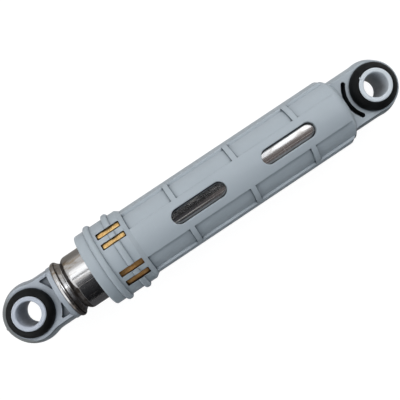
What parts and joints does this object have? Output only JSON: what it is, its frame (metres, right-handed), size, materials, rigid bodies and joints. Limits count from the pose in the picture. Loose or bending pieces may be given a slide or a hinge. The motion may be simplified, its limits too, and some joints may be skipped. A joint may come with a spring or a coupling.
{
  "type": "washing machine shock absorber",
  "caption": "Friction shock absorber: steel tube sliding in a slotted, ribbed plastic housing, with a rubber-bushed eye and pin sleeve at each end.",
  "frame": {"origin": "middle of the pin bore in the housing's eye", "axes": "+X along the damper towards the plunger's eye, +Z along the housing's pin bore"},
  "size_m": [0.2075, 0.0382, 0.0382],
  "materials": {
    "housing_plastic": "satin light grey moulding",
    "eye_plastic": "satin light grey moulding",
    "sleeve_plastic": "smooth pale moulding",
    "bush_rubber": "black moulded rubber",
    "tube_steel": "drawn and polished, faint lengthwise streaks",
    "strip_foam": "tan friction foam, greased"
  },
  "bodies": {
    "housing": {"housing": "housing_plastic", "mouth_ring": "housing_plastic", "friction_strip": "strip_foam", "housing_bush": "bush_rubber"},
    "tube": {"steel_tube": "tube_steel"},
    "plunger_eye": {"plunger_eye": "eye_plastic", "plunger_bush": "bush_rubber"},
    "housing_sleeve": {"housing_sleeve": "sleeve_plastic"},
    "plunger_sleeve": {"plunger_sleeve": "sleeve_plastic"}
  },
  "joints": [
    {"name": "tube_slide", "type": "slide", "parent": "housing", "child": "tube", "axis": [1, 0, 0], "range_m": [-0.006, 0.08]},
    {"name": "plunger_turn", "type": "hinge", "parent": "tube", "child": "plunger_eye", "pos_m": [0.1589, 0, 0], "axis": [1, 0, 0], "continuous": true},
    {"name": "housing_sleeve_twist", "type": "hinge", "parent": "housing", "child": "housing_sleeve", "pos_m": [0, 0, 0], "axis": [0, 0, 1], "range_deg": [-15, 15], "stiffness_Nm_per_rad": 0.3},
    {"name": "plunger_sleeve_twist", "type": "hinge", "parent": "plunger_eye", "child": "plunger_sleeve", "pos_m": [0.18, 0, 0], "axis": [0, -0.0698, 0.9976], "range_deg": [-15, 15], "stiffness_Nm_per_rad": 0.3}
  ]
}
